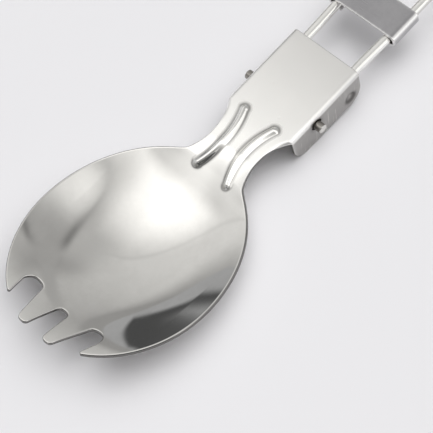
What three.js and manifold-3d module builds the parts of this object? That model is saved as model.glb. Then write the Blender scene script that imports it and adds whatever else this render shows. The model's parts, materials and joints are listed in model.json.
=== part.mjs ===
// Folding spork for camping: a stamped head, a bent wire handle and a sliding lock.
// Millimetres. The head is drawn with its flat bridge level: X runs from the front edge of the bridge
// towards the handle, the bowl and its tines point to -X, Y is across and Z is up.
// At the end the whole thing is tipped until it rests on the bowl and on the two side flanges.
import * as THREE from "three";
import { mergeVertices } from "three/addons/utils/BufferGeometryUtils.js";
import Module from "manifold-3d";

const wasm = await Module();
wasm.setup();

// Head: one sheet of stainless steel
const sheet = 0.9;                 // thickness
const bridgeWidth = 19;            // across the flanges
const bridgeLength = 22;
const bridgeBend = 1.2;            // outside radius where the flanges turn down
const flangeDepth = 9.4;
const flangeRound = 4.2;           // lower corners of the flanges
const neckWidth = 13.2;            // narrowest place
const neckPlace = 8.3;             // narrowest place, ahead of the bridge
const neckRadius = 13.5;           // hollow sides of the neck
const neckTurn = Math.PI * 2 / 9;  // the hollow sides turn this far, then run straight to the bowl
const shoulderBlend = 2.4;         // how broadly the neck's sides run into the bowl's
const neckEdgeDrop = 0.6;          // how far the neck's edges turn down beside the bridge
const neckEdgeRoll = 1.5;          // width of that turned edge
const bowlWidth = 46;
const bowlWidest = 42;             // widest place, ahead of the bridge
const bowlFront = 26.1;            // from the widest place to the front of the blank
const bowlRear = 28.3;             // from the widest place back to where its oval would close
const bowlDepth = 8;               // hollow below the rim
const bowlDeepest = 41.5;          // deepest place, ahead of the bridge
const hollowStart = 9;             // where the hollow begins, ahead of the bridge
const rimRise = 9.2;               // how much higher the tines' end of the rim is
const rimRiseStart = 15;           // where the rim starts to rise, ahead of the bridge
const rimDip = 0.4;                // the rim lies this much below the bridge at the neck
const hollowPower = 1.45;          // how sharply the hollow falls from its ends
const hollowRoundShare = 0.7;      // how broadly the hollow is rounded across, of half its width
const rimPower = 1.3;              // how evenly the rim rises

// Two raised ribs that stiffen the neck
const ribWidth = 2.8;
const ribHeight = 0.8;
const ribPlace = 8;                // middle of the ribs, ahead of the bridge
const ribSpacing = 5.6;            // between the ribs' centre lines at their middles
const ribRadius = 19;
const ribHalfLength = 7.8;

// Tines: places ahead of the bridge as shares of the head's reach, and places across as shares of half
// the bowl's width
const tineShares = {
  mouth: [1.1, 0.368],
  outerWall: [0.8855, 0.498],
  outerCorner: [0.858, 0.483],
  floor: [0.859, 0.4],
  innerCorner: [0.8605, 0.322],
  innerWall: [0.8767, 0.313],
  tineSide: [0.9794, 0.224],
  tineCorner: [0.997, 0.209],
  tineTip: [0.9949, 0.159],
  tineCentreCorner: [0.9949, 0.109],
  centreSide: [0.981, 0.102],
  centreWall: [0.8943, 0.065],
  centreCorner: [0.8781, 0.056],
  centreFloor: [0.8781, 0],
};

// Wire handle and its pivot
const wire = 2.3;                  // diameter
const pivotPlace = 7.7;            // pivot behind the bridge's front edge
const pivotDrop = 3.05;            // pivot below the top of the bridge
const pivotHole = 3;
const pinStandOut = 1.9;           // the pins stand out of the flanges
const pinBend = 1.3;               // radius of the wire's bend at the pivot, on its centre line
const wireGap = 0.32;              // between a wire and its flange
const gripSpread = 15.6;           // between the wires' centre lines at the grip
const spreadEnd = 45;              // the wires run side by side from here on
const handleReach = 92;            // end of the handle, behind the bridge's front edge

// Dimples in the flanges that hold the wires up when the handle is open
const dimplePlace = 18.4;
const dimpleDrop = 6.3;
const dimpleRadius = 1.7;
const dimpleDepth = 0.5;
const dimpleBump = 0.15;           // the dimple's back stands out inside the flange

// Sliding lock: a strip of sheet whose edges are rolled round the wires
const lockSheet = 0.7;
const lockLength = 8.5;
const lockPlace = 33.3;            // front edge of the lock, behind the bridge's front edge
const lockGap = 0.17;              // round the wires
const lockLip = 3.6;               // width of the lip under each wire, with its outer corner
const lockBend = 1.7;              // outside radius of the rolled edges

// Fineness of the meshes, and one overrun for all cuts
const rowsAlong = 54;
const columnsAcross = 26;
const rowCrowding = 1.4;           // more rows at the neck, where the ribs are
const wireSides = 12;
const roundSides = 20;
const cornerSteps = 5;
const tiltSteps = 40;              // halvings when the resting angle is looked for
const steepestTilt = Math.PI / 6;
const weldShare = 0.001;           // points closer than this share of the sheet become one
const slopeShare = 0.01;           // slopes are measured over this share of the sheet
const frontShare = 0.05;           // the rows stop this share of the sheet short of the oval's end
const overrun = 2;

// Sizes worked out from those above
const headReach = bowlWidest + bowlFront;
const halfBridge = bridgeWidth / 2;
const halfBowl = bowlWidth / 2;
const wireRadius = wire / 2;
const channelSpread = bridgeWidth - 2 * (sheet + wireGap + wireRadius);

const clamp01 = (value) => Math.min(1, Math.max(0, value));
const smooth = (value) => clamp01(value) ** 2 * (3 - 2 * clamp01(value));

// A closed three.js geometry as a manifold solid, and back again
function solid(geometry) {
  const bare = geometry.clone();
  bare.deleteAttribute("normal");
  bare.deleteAttribute("uv");
  const merged = mergeVertices(bare, sheet * weldShare);
  return new wasm.Manifold(new wasm.Mesh({
    numProp: 3,
    vertProperties: new Float32Array(merged.attributes.position.array),
    triVerts: new Uint32Array(merged.index.array),
  }));
}

function geometryOf(manifold) {
  const mesh = manifold.getMesh();
  const geometry = new THREE.BufferGeometry();
  geometry.setAttribute("position", new THREE.BufferAttribute(new Float32Array(mesh.vertProperties), 3));
  geometry.setIndex(new THREE.BufferAttribute(new Uint32Array(mesh.triVerts), 1));
  geometry.computeVertexNormals();
  return geometry;
}

// A shape drawn in two of the axes and extruded along the third
const drawnAlong = {
  x: [new THREE.Vector3(0, 1, 0), new THREE.Vector3(0, 0, 1), new THREE.Vector3(1, 0, 0)],
  y: [new THREE.Vector3(1, 0, 0), new THREE.Vector3(0, 0, 1), new THREE.Vector3(0, -1, 0)],
  z: [new THREE.Vector3(1, 0, 0), new THREE.Vector3(0, 1, 0), new THREE.Vector3(0, 0, 1)],
};

function extruded(shape, direction, from, to) {
  const geometry = new THREE.ExtrudeGeometry(shape, {
    depth: to - from, bevelEnabled: false, curveSegments: cornerSteps,
  });
  geometry.translate(0, 0, direction === "y" ? -to : from);
  return geometry.applyMatrix4(new THREE.Matrix4().makeBasis(...drawnAlong[direction]));
}

// Half the width of the blank at a place along X: bridge, hollow-sided neck, oval bowl
function halfWidth(x) {
  if (x > 0) {
    return halfBridge - bridgeBend;
  }
  const reach = x < -bowlWidest ? bowlFront : bowlRear;
  const oval = halfBowl * Math.sqrt(Math.max(0, 1 - ((x + bowlWidest) / reach) ** 2));
  if (x < -neckPlace - neckRadius) {
    return oval;
  }
  const round = Math.min(Math.abs(x + neckPlace), neckRadius * Math.sin(neckTurn));
  const straight = Math.abs(x + neckPlace) - round;
  const neck = neckWidth / 2 + neckRadius - Math.sqrt(neckRadius ** 2 - round ** 2)
    + straight * Math.tan(neckTurn);
  const blend = Math.max(0, 1 - Math.abs(neck - oval) / shoulderBlend) ** 2;
  return Math.max(neck, oval) + shoulderBlend / 4 * blend;
}

// Height of the rim, and depth of the hollow below it, at a place along X. Across, the hollow is a
// hyperbola: round at the bottom, with straighter and straighter sides.
const rimHeight = (x) => rimRise * clamp01((-x - rimRiseStart) / (headReach - rimRiseStart)) ** rimPower
  - rimDip * smooth(-x / rimRiseStart);

function hollowAt(x) {
  const reach = x < -bowlDeepest ? headReach - bowlDeepest : bowlDeepest - hollowStart;
  return bowlDepth * Math.max(0, 1 - ((x + bowlDeepest) / reach) ** 2) ** hollowPower;
}

const hollowAcross = (share) => (Math.hypot(1, share / hollowRoundShare) - 1)
  / (Math.hypot(1, 1 / hollowRoundShare) - 1);

// How far a point stands up on a rib: a rounded ridge along an arc that curves away from the middle
function ribAt(x, y) {
  const centreY = ribSpacing / 2 + ribRadius;
  const along = Math.max(-ribHalfLength, Math.min(ribHalfLength, x + ribPlace));
  const lineY = centreY - Math.sqrt(ribRadius ** 2 - along ** 2);
  const off = Math.hypot(x + ribPlace - along, Math.abs(y) - lineY);
  return ribHeight * Math.cos(Math.PI * Math.min(1 / 2, off / ribWidth)) ** 2;
}

// The top of the sheet without its ribs: hollow bowl, turned edges beside the bridge
function topAt(x, y) {
  const width = halfWidth(x);
  const share = Math.min(1, Math.abs(y) / width);
  const turned = neckEdgeDrop * smooth(1 + x / hollowStart)
    * clamp01(1 - (width - Math.abs(y)) / neckEdgeRoll) ** 2;
  const flat = rimHeight(x) - hollowAt(x) * (1 - hollowAcross(share));
  return flat - (x > 0 ? 0 : turned);
}

// A point of the sheet: on top at depth 0, and underneath, square to the top, at depth 1. The ribs
// raise both faces alike.
function sheetPoint(x, y, depth, target) {
  const step = sheet * slopeShare;
  const slopeX = (topAt(x + step, y) - topAt(x - step, y)) / (2 * step);
  const slopeY = (topAt(x, y + step) - topAt(x, y - step)) / (2 * step);
  const normal = new THREE.Vector3(-slopeX, -slopeY, 1).normalize();
  return target.set(x, y, topAt(x, y)).addScaledVector(normal, ribAt(x, y) - depth * sheet);
}

// Neck and bowl: a grid of rows and columns bent to the sheet, with a tab that lies in the bridge
function bowlSheet() {
  const tab = ribHalfLength - ribPlace + ribWidth / 2;
  const grid = new THREE.BoxGeometry(1, 1, 1, rowsAlong, columnsAcross, 1);
  const place = grid.attributes.position;
  const point = new THREE.Vector3();
  for (let i = 0; i < place.count; i += 1) {
    const along = (1 / 2 - place.getX(i)) ** rowCrowding;
    const x = tab - (tab + headReach - sheet * frontShare) * along;
    const y = 2 * place.getY(i) * halfWidth(x);
    sheetPoint(x, y, 1 / 2 - place.getZ(i), point);
    place.setXYZ(i, point.x, point.y, point.z);
  }
  return solid(grid);
}

// What is cut away between and in front of the four tines, drawn from above
function tineCut() {
  const at = (name, side) => [-tineShares[name][0] * headReach, side * tineShares[name][1] * halfBowl];
  const shape = new THREE.Shape();
  shape.moveTo(...at("mouth", 1));
  shape.lineTo(...at("outerWall", 1));
  shape.quadraticCurveTo(...at("outerCorner", 1), ...at("floor", 1));
  shape.quadraticCurveTo(...at("innerCorner", 1), ...at("innerWall", 1));
  shape.lineTo(...at("tineSide", 1));
  shape.quadraticCurveTo(...at("tineCorner", 1), ...at("tineTip", 1));
  shape.quadraticCurveTo(...at("tineCentreCorner", 1), ...at("centreSide", 1));
  shape.lineTo(...at("centreWall", 1));
  shape.quadraticCurveTo(...at("centreCorner", 1), ...at("centreFloor", 1));
  shape.quadraticCurveTo(...at("centreCorner", -1), ...at("centreWall", -1));
  shape.lineTo(...at("centreSide", -1));
  shape.quadraticCurveTo(...at("tineCentreCorner", -1), ...at("tineTip", -1));
  shape.quadraticCurveTo(...at("tineCorner", -1), ...at("tineSide", -1));
  shape.lineTo(...at("innerWall", -1));
  shape.quadraticCurveTo(...at("innerCorner", -1), ...at("floor", -1));
  shape.quadraticCurveTo(...at("outerCorner", -1), ...at("outerWall", -1));
  shape.lineTo(...at("mouth", -1));
  shape.closePath();
  return solid(extruded(shape, "z", -bowlDepth - overrun, rimRise + overrun));
}

// Bridge: a channel with its flanges down, seen from its end
function channelProfile() {
  const inner = halfBridge - sheet;
  const bent = halfBridge - bridgeBend;
  const innerBend = bridgeBend - sheet;
  const shape = new THREE.Shape();
  shape.moveTo(halfBridge, -flangeDepth);
  shape.lineTo(halfBridge, -bridgeBend);
  shape.absarc(bent, -bridgeBend, bridgeBend, 0, Math.PI / 2, false);
  shape.lineTo(-bent, 0);
  shape.absarc(-bent, -bridgeBend, bridgeBend, Math.PI / 2, Math.PI, false);
  shape.lineTo(-halfBridge, -flangeDepth);
  shape.lineTo(-inner, -flangeDepth);
  shape.lineTo(-inner, -bridgeBend);
  shape.absarc(-bent, -bridgeBend, innerBend, Math.PI, Math.PI / 2, true);
  shape.lineTo(bent, -sheet);
  shape.absarc(bent, -bridgeBend, innerBend, Math.PI / 2, 0, true);
  shape.lineTo(inner, -flangeDepth);
  shape.closePath();
  return shape;
}

// The bridge's outline from the side, with rounded lower corners
function bridgeSide() {
  const shape = new THREE.Shape();
  shape.moveTo(0, overrun);
  shape.lineTo(0, -flangeDepth + flangeRound);
  shape.absarc(flangeRound, -flangeDepth + flangeRound, flangeRound, Math.PI, Math.PI * 3 / 2, false);
  shape.lineTo(bridgeLength - flangeRound, -flangeDepth);
  shape.absarc(bridgeLength - flangeRound, -flangeDepth + flangeRound, flangeRound,
    Math.PI * 3 / 2, Math.PI * 2, false);
  shape.lineTo(bridgeLength, overrun);
  shape.closePath();
  return shape;
}

function bridge() {
  const channel = solid(extruded(channelProfile(), "x", 0, bridgeLength));
  const side = solid(extruded(bridgeSide(), "y", -halfBridge - overrun, halfBridge + overrun));
  const hole = new THREE.CylinderGeometry(pivotHole / 2, pivotHole / 2, bridgeWidth + 2 * overrun, roundSides);
  hole.translate(pivotPlace, 0, -pivotDrop);
  return channel.intersect(side).subtract(solid(hole));
}

// One dimple is a shallow ball pressed in from outside; its back stands out a little inside
function dimpleBall(side, depth, surface) {
  const ballRadius = (dimpleRadius ** 2 + depth ** 2) / (2 * depth);
  const ball = new THREE.SphereGeometry(ballRadius, roundSides, roundSides);
  ball.translate(dimplePlace, side * (surface + ballRadius - depth), -dimpleDrop);
  return solid(ball);
}

function dimpled(head) {
  let result = head;
  for (const side of [-1, 1]) {
    const flangeInside = halfBridge - sheet;
    const back = dimpleBall(side, dimpleBump, flangeInside);
    const wide = 2 * (dimpleRadius + overrun);
    const limit = new THREE.BoxGeometry(wide, sheet, wide);
    limit.translate(dimplePlace, side * flangeInside, -dimpleDrop);
    result = result.add(back.intersect(solid(limit)));
    result = result.subtract(dimpleBall(side, dimpleDepth, halfBridge));
  }
  return result;
}

function sporkHead() {
  return geometryOf(dimpled(bowlSheet().subtract(tineCut()).add(bridge())));
}

// The wire's centre line: pin, bend, straight leg, spread, grip and round end, then the same mirrored.
// It answers with places at uneven steps, so that only the bends have many.
class WirePath extends THREE.Curve {
  constructor(points) {
    super();
    this.points = points;
  }

  getPointAt(share, target = new THREE.Vector3()) {
    const last = this.points.length - 1;
    const index = Math.min(last - 1, Math.floor(share * last));
    return target.lerpVectors(this.points[index], this.points[index + 1], share * last - index);
  }

  getSpacedPoints() {
    return this.points.map((point) => point.clone());
  }

  getTangentAt(share, target = new THREE.Vector3()) {
    const last = this.points.length - 1;
    const index = Math.round(share * last);
    const before = this.points[Math.max(0, index - 1)];
    const after = this.points[Math.min(last, index + 1)];
    return target.subVectors(after, before).normalize();
  }
}

function wireLine() {
  const near = channelSpread / 2;
  const far = gripSpread / 2;
  const half = [[pivotPlace, halfBridge + pinStandOut]];
  for (let i = 0; i <= cornerSteps; i += 1) {
    const turn = Math.PI / 2 * i / cornerSteps;
    half.push([
      pivotPlace + pinBend * (1 - Math.cos(turn)),
      near + pinBend * (1 - Math.sin(turn)),
    ]);
  }
  half.push([bridgeLength, near]);
  for (let i = 1; i < cornerSteps; i += 1) {
    const share = i / cornerSteps;
    half.push([bridgeLength + share * (spreadEnd - bridgeLength), near + (far - near) * smooth(share)]);
  }
  const endCentre = handleReach - wireRadius - far;
  half.push([spreadEnd, far]);
  for (let i = 0; i < roundSides / 2; i += 1) {
    const turn = Math.PI / 2 * i / (roundSides / 2);
    half.push([endCentre + far * Math.sin(turn), far * Math.cos(turn)]);
  }
  const whole = [...half, [endCentre + far, 0], ...half.map(([x, y]) => [x, -y]).reverse()];
  return whole.map(([x, y]) => new THREE.Vector3(x, y, -pivotDrop));
}

function wireHandle() {
  const round = new THREE.Shape();
  for (let i = 0; i < wireSides; i += 1) {
    const turn = Math.PI * 2 * (i + 1 / 2) / wireSides;
    const corner = [wireRadius * Math.cos(turn), wireRadius * Math.sin(turn)];
    if (i === 0) {
      round.moveTo(...corner);
    } else {
      round.lineTo(...corner);
    }
  }
  round.closePath();
  const line = wireLine();
  return geometryOf(solid(new THREE.ExtrudeGeometry(round, {
    steps: line.length - 1, bevelEnabled: false, extrudePath: new WirePath(line),
  })));
}

// The lock seen from its end: a flat top with both edges rolled down and in under the wires
function lockProfile() {
  const inside = gripSpread / 2 + wireRadius + lockGap;
  const outside = inside + lockSheet;
  const innerBend = lockBend - lockSheet;
  const roof = -pivotDrop + wireRadius + lockGap;
  const floor = -pivotDrop - wireRadius - lockGap;
  const top = roof + lockSheet;
  const bottom = floor - lockSheet;
  const bent = outside - lockBend;
  const lipEnd = outside - lockLip;
  const shape = new THREE.Shape();
  shape.moveTo(lipEnd, bottom);
  shape.lineTo(bent, bottom);
  shape.absarc(bent, bottom + lockBend, lockBend, -Math.PI / 2, 0, false);
  shape.absarc(bent, top - lockBend, lockBend, 0, Math.PI / 2, false);
  shape.lineTo(-bent, top);
  shape.absarc(-bent, top - lockBend, lockBend, Math.PI / 2, Math.PI, false);
  shape.absarc(-bent, bottom + lockBend, lockBend, Math.PI, Math.PI * 3 / 2, false);
  shape.lineTo(-lipEnd, bottom);
  shape.lineTo(-lipEnd, floor);
  shape.lineTo(-bent, floor);
  shape.absarc(-bent, floor + innerBend, innerBend, Math.PI * 3 / 2, Math.PI, true);
  shape.absarc(-bent, roof - innerBend, innerBend, Math.PI, Math.PI / 2, true);
  shape.lineTo(bent, roof);
  shape.absarc(bent, roof - innerBend, innerBend, Math.PI / 2, 0, true);
  shape.absarc(bent, floor + innerBend, innerBend, 0, -Math.PI / 2, true);
  shape.lineTo(lipEnd, floor);
  shape.closePath();
  return shape;
}

function slidingLock() {
  return geometryOf(solid(extruded(lockProfile(), "x", lockPlace, lockPlace + lockLength)));
}

// Finishes
const brightSheet = new THREE.MeshStandardMaterial({ color: 0xc9c7c2, roughness: 0.22, metalness: 1 });
const drawnWire = new THREE.MeshStandardMaterial({ color: 0xcfccc4, roughness: 0.3, metalness: 1 });
const lockSteel = new THREE.MeshStandardMaterial({ color: 0xb9b7b3, roughness: 0.25, metalness: 1 });

// The angle at which the bowl's underside and the flanges' lower edges touch one level surface
function restingTilt(geometry) {
  const place = geometry.attributes.position;
  const lowest = (tilt, inRange) => {
    let low = Infinity;
    for (let i = 0; i < place.count; i += 1) {
      if (inRange(place.getX(i))) {
        low = Math.min(low, place.getX(i) * Math.sin(tilt) + place.getZ(i) * Math.cos(tilt));
      }
    }
    return low;
  };
  let [flat, steep] = [0, steepestTilt];
  for (let i = 0; i < tiltSteps; i += 1) {
    const middle = (flat + steep) / 2;
    const bowlLow = lowest(middle, (x) => x < -hollowStart);
    const flangeLow = lowest(middle, (x) => x >= 0);
    [flat, steep] = bowlLow > flangeLow ? [middle, steep] : [flat, middle];
  }
  return (flat + steep) / 2;
}

function piece(name, geometry, material) {
  const mesh = new THREE.Mesh(geometry, material);
  mesh.name = name;
  return mesh;
}

const headGeometry = sporkHead();
const spork = new THREE.Group();
spork.add(piece("spork_head", headGeometry, brightSheet));
spork.add(piece("wire_handle", wireHandle(), drawnWire));
spork.add(piece("sliding_lock", slidingLock(), lockSteel));
spork.rotation.y = -restingTilt(headGeometry);
spork.updateMatrixWorld(true);

// The middle of the spork's footprint comes to the origin, and its lowest point to the ground
const box = new THREE.Box3().setFromObject(spork, true);
spork.position.set(-(box.min.x + box.max.x) / 2, 0, -box.min.z);

const part = new THREE.Group();
part.add(spork);
export default part;
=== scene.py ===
# %% [markdown]
# # A folding camping spork in Blender
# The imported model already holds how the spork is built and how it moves: a stamped head, a bent wire
# handle and a sliding lock. This lesson gives the three pieces their finished surfaces. Two of them are
# sheet metal, so they are made as a press would make them: a flat blank is cut out, its cut edges are
# rounded, and a formula folds it. The third is a wire, a circle carried along a line.

# %% Load the frame
import json
import math

import bpy
import numpy as np
from mathutils import Matrix, Vector
from mathutils.geometry import delaunay_2d_cdt


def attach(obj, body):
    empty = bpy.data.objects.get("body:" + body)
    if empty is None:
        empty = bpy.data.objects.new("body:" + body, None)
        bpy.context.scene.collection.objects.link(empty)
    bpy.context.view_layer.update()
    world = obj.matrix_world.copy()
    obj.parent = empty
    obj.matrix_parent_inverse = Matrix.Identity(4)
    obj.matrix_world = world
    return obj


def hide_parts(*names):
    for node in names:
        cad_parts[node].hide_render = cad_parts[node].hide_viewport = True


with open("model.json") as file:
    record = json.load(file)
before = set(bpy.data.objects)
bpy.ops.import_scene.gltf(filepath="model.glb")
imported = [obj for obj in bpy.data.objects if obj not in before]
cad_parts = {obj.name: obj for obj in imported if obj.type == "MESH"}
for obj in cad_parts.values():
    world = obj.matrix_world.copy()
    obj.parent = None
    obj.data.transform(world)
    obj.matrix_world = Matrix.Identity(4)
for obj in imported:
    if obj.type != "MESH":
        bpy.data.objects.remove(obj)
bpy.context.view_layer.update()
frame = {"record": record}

# %% [markdown]
# ## Sizes and the frame they are drawn in
# A spork is measured in millimetres, and it is easiest to describe with its flat bridge level: x runs
# from the bridge's front edge towards the handle, y across, z up, and the bowl lies at negative x. The
# real one rests tipped a little, on its bowl and flanges. The frame says how far: the mount on top of
# the bridge gives a point of that plate and the direction square to it.

# %% Sizes of the head, in millimetres
MM = 0.001
sheet = 0.9
bridge_width = 19
bridge_length = 22
bridge_bend = 1.2
flange_depth = 9.4
flange_round = 4.2
neck_width = 13.2
neck_place = 8.3
neck_radius = 13.5
neck_turn = math.radians(40)
neck_notch = 0.5
shoulder_blend = 2.4
bowl_width = 46
bowl_widest = 42
bowl_front = 26.1
bowl_rear = 28.3
bowl_depth = 8
bowl_deepest = 41.5
hollow_start = 9
rim_rise = 9.2
rim_rise_start = 15
rim_dip = 0.4
hollow_power = 1.45
hollow_round_share = 0.7
rim_power = 1.3
rib_width = 2.8
rib_height = 0.8
rib_place = 8
rib_spacing = 5.6
rib_radius = 19
rib_half_length = 7.8
head_reach = bowl_widest + bowl_front
half_bridge = bridge_width / 2
half_bowl = bowl_width / 2

# %% Sizes of the wire and the lock, in millimetres
wire = 2.3
pivot_place = 7.7
pivot_drop = 3.05
pivot_hole = 3
pin_stand_out = 1.9
pin_bend = 1.3
wire_gap = 0.32
grip_spread = 15.6
spread_end = 45
handle_reach = 92
lock_sheet = 0.7
lock_length = 8.5
lock_place = 33.3
lock_gap = 0.17
lock_lip = 3.6
lock_bend = 1.7
wire_radius = wire / 2
channel_spread = bridge_width - 2 * (sheet + wire_gap + wire_radius)

# %% Place of the bridge in the row frame
bridge_mount = frame["record"]["mounts"][0]
up_axis = np.array(bridge_mount["axis"], float)
along_axis = np.array([up_axis[2], 0, -up_axis[0]])
across_axis = np.array([0, 1, 0])
bridge_front = np.array(bridge_mount["pos_m"]) - along_axis * bridge_length / 2 * MM


def placed(points):
    """Points in bridge millimetres as points in the row frame, in metres.

    Place = front edge of the bridge + x along + y across + z up, each by its own axis.
    """
    return bridge_front + MM * (points @ np.array([along_axis, across_axis, up_axis]))


print("The bridge is tipped by", round(math.degrees(math.asin(-up_axis[0])), 2), "degrees")

# %% [markdown]
# ## Three small tools for outlines
# An outline is a list of points in the blank's own two directions: x along, and s across, measured on
# the sheet as a tape would lie. Round stretches are circle arcs or three-point curves. All outlines are
# resampled to even steps, so that the quads along a cut edge are all alike.

# %% Easing, arcs, curves and even steps
def smooth(value):
    """Eases from 0 to 1: three times the square less twice the cube, held between 0 and 1."""
    value = np.clip(value, 0, 1)
    return value * value * (3 - 2 * value)


def arc(centre, radius, start, end, count=24):
    """Points of a circle: centre + radius * (cos, sin) of angles from start to end, in degrees."""
    angle = np.radians(np.linspace(start, end, count))
    return np.array(centre) + radius * np.stack([np.cos(angle), np.sin(angle)], 1)


def three_point(start, corner, end, count=24):
    """A quadratic curve: (1-t)^2 start + 2t(1-t) corner + t^2 end."""
    t = np.linspace(0, 1, count)[:, None]
    return (1 - t) ** 2 * np.array(start) + 2 * t * (1 - t) * np.array(corner) + t ** 2 * np.array(end)


def evenly(points, step):
    """A closed line resampled to equal steps along its length, each close to the step asked for."""
    closed = np.vstack([points, points[:1]])
    length = np.concatenate([[0], np.cumsum(np.hypot(*np.diff(closed, axis=0).T))])
    places = np.linspace(0, length[-1], round(length[-1] / step), endpoint=False)
    return np.stack([np.interp(places, length, closed[:, k]) for k in (0, 1)], 1)


# %% [markdown]
# ## How the press folds a blank
# The head's blank is flat. The press turns its long edges down, sinks the bowl and raises two ribs. The
# bowl could be sculpted, or rounded from a coarse cage by subdivision, but then its widths and depths
# would only come close. Here each of these steps is a function of x and s, worked out for whole arrays of
# points at once. So every size is met, and two numbers set how the hollow rounds off, which the mirrored
# room shows at once.

# %% Width of the head seen from above
def plan_half_width(x):
    """Half the head's width at x, seen from above.

    The bowl is an oval: half_bowl * sqrt(1 - (distance from its widest place / reach)^2). The neck has
    hollow sides: neck_width / 2 + neck_radius - sqrt(neck_radius^2 - distance^2), running on straight
    from neck_turn. The larger of the two counts, with a small quadratic blend where they cross.
    """
    x = np.minimum(x, 0)
    reach = np.where(x < -bowl_widest, bowl_front, bowl_rear)
    oval = half_bowl * np.sqrt(np.clip(1 - ((x + bowl_widest) / reach) ** 2, 0, 1))
    distance = np.abs(x + neck_place)
    round_part = np.minimum(distance, neck_radius * math.sin(neck_turn))
    neck = neck_width / 2 + neck_radius - np.sqrt(neck_radius ** 2 - round_part ** 2)
    neck = neck + (distance - round_part) * math.tan(neck_turn)
    blend = np.clip(1 - np.abs(neck - oval) / shoulder_blend, 0, 1) ** 2
    shoulder = np.maximum(neck, oval) + shoulder_blend / 4 * blend
    return np.where(x < -neck_place - neck_radius, oval, shoulder)


bridge_flat = half_bridge - bridge_bend
flange_start = bridge_flat + bridge_bend * math.pi / 2
full_turn = math.asin((float(plan_half_width(0)) - bridge_flat) / bridge_bend)


def edge_turn(x):
    """How far the long edges are turned down before the bridge: full_turn * smooth(1 + x / hollow_start)."""
    return full_turn * smooth(1 + x / hollow_start)


def flat_half_width(x):
    """Where the turned edge begins, on each side: the plan width less bend radius * sin(turn)."""
    return np.where(x < 0, plan_half_width(x) - bridge_bend * np.sin(edge_turn(x)), bridge_flat)


def blank_half_width(x):
    """Half the flat blank's width ahead of the bridge: the flat part plus bend radius * turn."""
    return flat_half_width(x) + bridge_bend * edge_turn(x)


print("Edges are turned down by", round(math.degrees(full_turn), 1), "degrees where neck and bridge meet")

# %% Bowl, rim, ribs and the whole fold
def rim_height(x):
    """Height of the rim: it dips slightly at the neck, then rises as a power of the way to the tines."""
    rise = rim_rise * np.clip((-x - rim_rise_start) / (head_reach - rim_rise_start), 0, 1) ** rim_power
    return rise - rim_dip * smooth(-x / rim_rise_start)


def hollow_at(x):
    """Depth of the bowl below its rim: bowl_depth * (1 - (distance from the deepest / reach)^2)^power."""
    reach = np.where(x < -bowl_deepest, head_reach - bowl_deepest, bowl_deepest - hollow_start)
    return bowl_depth * np.clip(1 - ((x + bowl_deepest) / reach) ** 2, 0, 1) ** hollow_power


def hollow_across(share):
    """How much of the hollow is gone at a share of the half width: a hyperbola, round at the bottom.

    (sqrt(1 + (share / k)^2) - 1) over the same at the rim, where k is hollow_round_share.
    """
    return (np.hypot(1, share / hollow_round_share) - 1) / (math.hypot(1, 1 / hollow_round_share) - 1)


def rib_at(x, s):
    """Height of the ribs: rib_height * cos^2 of the distance from an arc that bends off the middle."""
    along = np.clip(x + rib_place, -rib_half_length, rib_half_length)
    line = rib_spacing / 2 + rib_radius - np.sqrt(rib_radius ** 2 - along ** 2)
    away = np.hypot(x + rib_place - along, np.abs(s) - line)
    return rib_height * np.cos(math.pi * np.minimum(1 / 2, away / rib_width)) ** 2


def head_fold(x, s):
    """The outside of the folded head at (x, s) of its blank.

    Past flat_half_width the sheet follows a circle of bridge_bend, and past a right angle it runs straight
    down: y = flat + r sin(turn), fall = r (1 - cos(turn)) + what is left of s. The height is the rim less
    the hollow times (1 - hollow_across(y / half width)), less the fall.
    """
    across = np.abs(s)
    flat = flat_half_width(x)
    turn = np.clip((across - flat) / bridge_bend, 0, math.pi / 2)
    left = np.maximum(0, across - flat - bridge_bend * math.pi / 2)
    y = np.minimum(across, flat) + bridge_bend * np.sin(turn)
    share = np.minimum(y / np.maximum(plan_half_width(x), sheet), 1 + sheet / half_bowl)
    height = rim_height(x) - hollow_at(x) * (1 - hollow_across(share))
    return np.stack([x, np.sign(s) * y, height - bridge_bend * (1 - np.cos(turn)) - left], -1)


def down_the_flange(drop):
    """How far along the sheet a height below the bridge lies: flat + r * pi / 2 + (drop - r)."""
    return flange_start + drop - bridge_bend


# %% [markdown]
# ## The blank's outline
# Half of the outline is drawn from the middle of the bridge's rear edge, round the flange, along the neck
# and the bowl, to the middle notch between the tines, and then mirrored. The tines' places are shares
# of the head's reach and of half the bowl's width. The tips of the two outer tines are too sharp to be
# drawn as a curve through a corner, so a small circle is fitted between the bowl's edge and the notch.
# The whole could be traced by hand too, but then the rim wouldn't quite meet the oval that is pressed.

# %% Shares that place the tines
tine_shares = {
    "mouth": (1.1, 0.368), "outer_wall": (0.8855, 0.498), "outer_corner": (0.858, 0.483),
    "floor": (0.859, 0.4), "inner_corner": (0.8605, 0.322), "inner_wall": (0.8767, 0.313),
    "tine_side": (0.9794, 0.224), "tine_corner": (0.997, 0.209), "tine_tip": (0.9949, 0.159),
    "tine_centre_corner": (0.9949, 0.109), "centre_side": (0.981, 0.102),
    "centre_wall": (0.8943, 0.065), "centre_corner": (0.8781, 0.056), "centre_floor": (0.8781, 0),
}
tine = {
    name: np.array([-along * head_reach, across * half_bowl])
    for name, (along, across) in tine_shares.items()
}
outer_tip_radius = 0.42
same_place = 1e-6
flange_edge = down_the_flange(flange_depth)


# %% Bowl's edge down to the outer tine's rounded tip
edge_samples = 600
past_tip_turn = 80


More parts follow.
